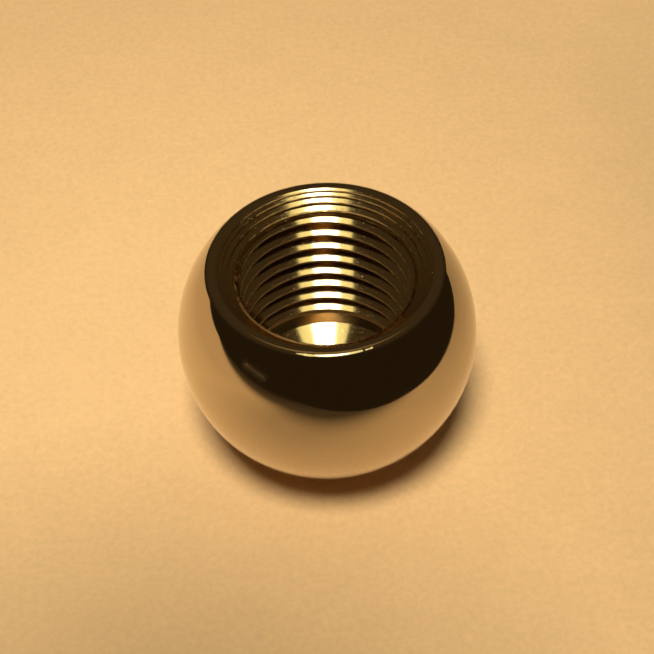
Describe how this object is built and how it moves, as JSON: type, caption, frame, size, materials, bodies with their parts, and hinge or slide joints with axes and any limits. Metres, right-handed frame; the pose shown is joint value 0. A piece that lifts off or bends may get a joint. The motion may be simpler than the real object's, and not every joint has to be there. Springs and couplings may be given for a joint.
{
  "type": "ball finial",
  "caption": "Polished metal ball finial, cut off flat at the mouth of a blind, countersunk, threaded socket.",
  "frame": {"origin": "centre of the flat face at the socket's mouth, on the socket's axis", "axes": "+Z along the socket's axis, out of its mouth; the ball lies below the origin"},
  "size_m": [0.016, 0.016, 0.0131],
  "materials": {
    "polished_nickel": "mirror-polished nickel plate over turned brass, with light rub marks and a plain machined socket"
  },
  "bodies": {
    "root": {"ball": "polished_nickel"}
  },
  "joints": []
}
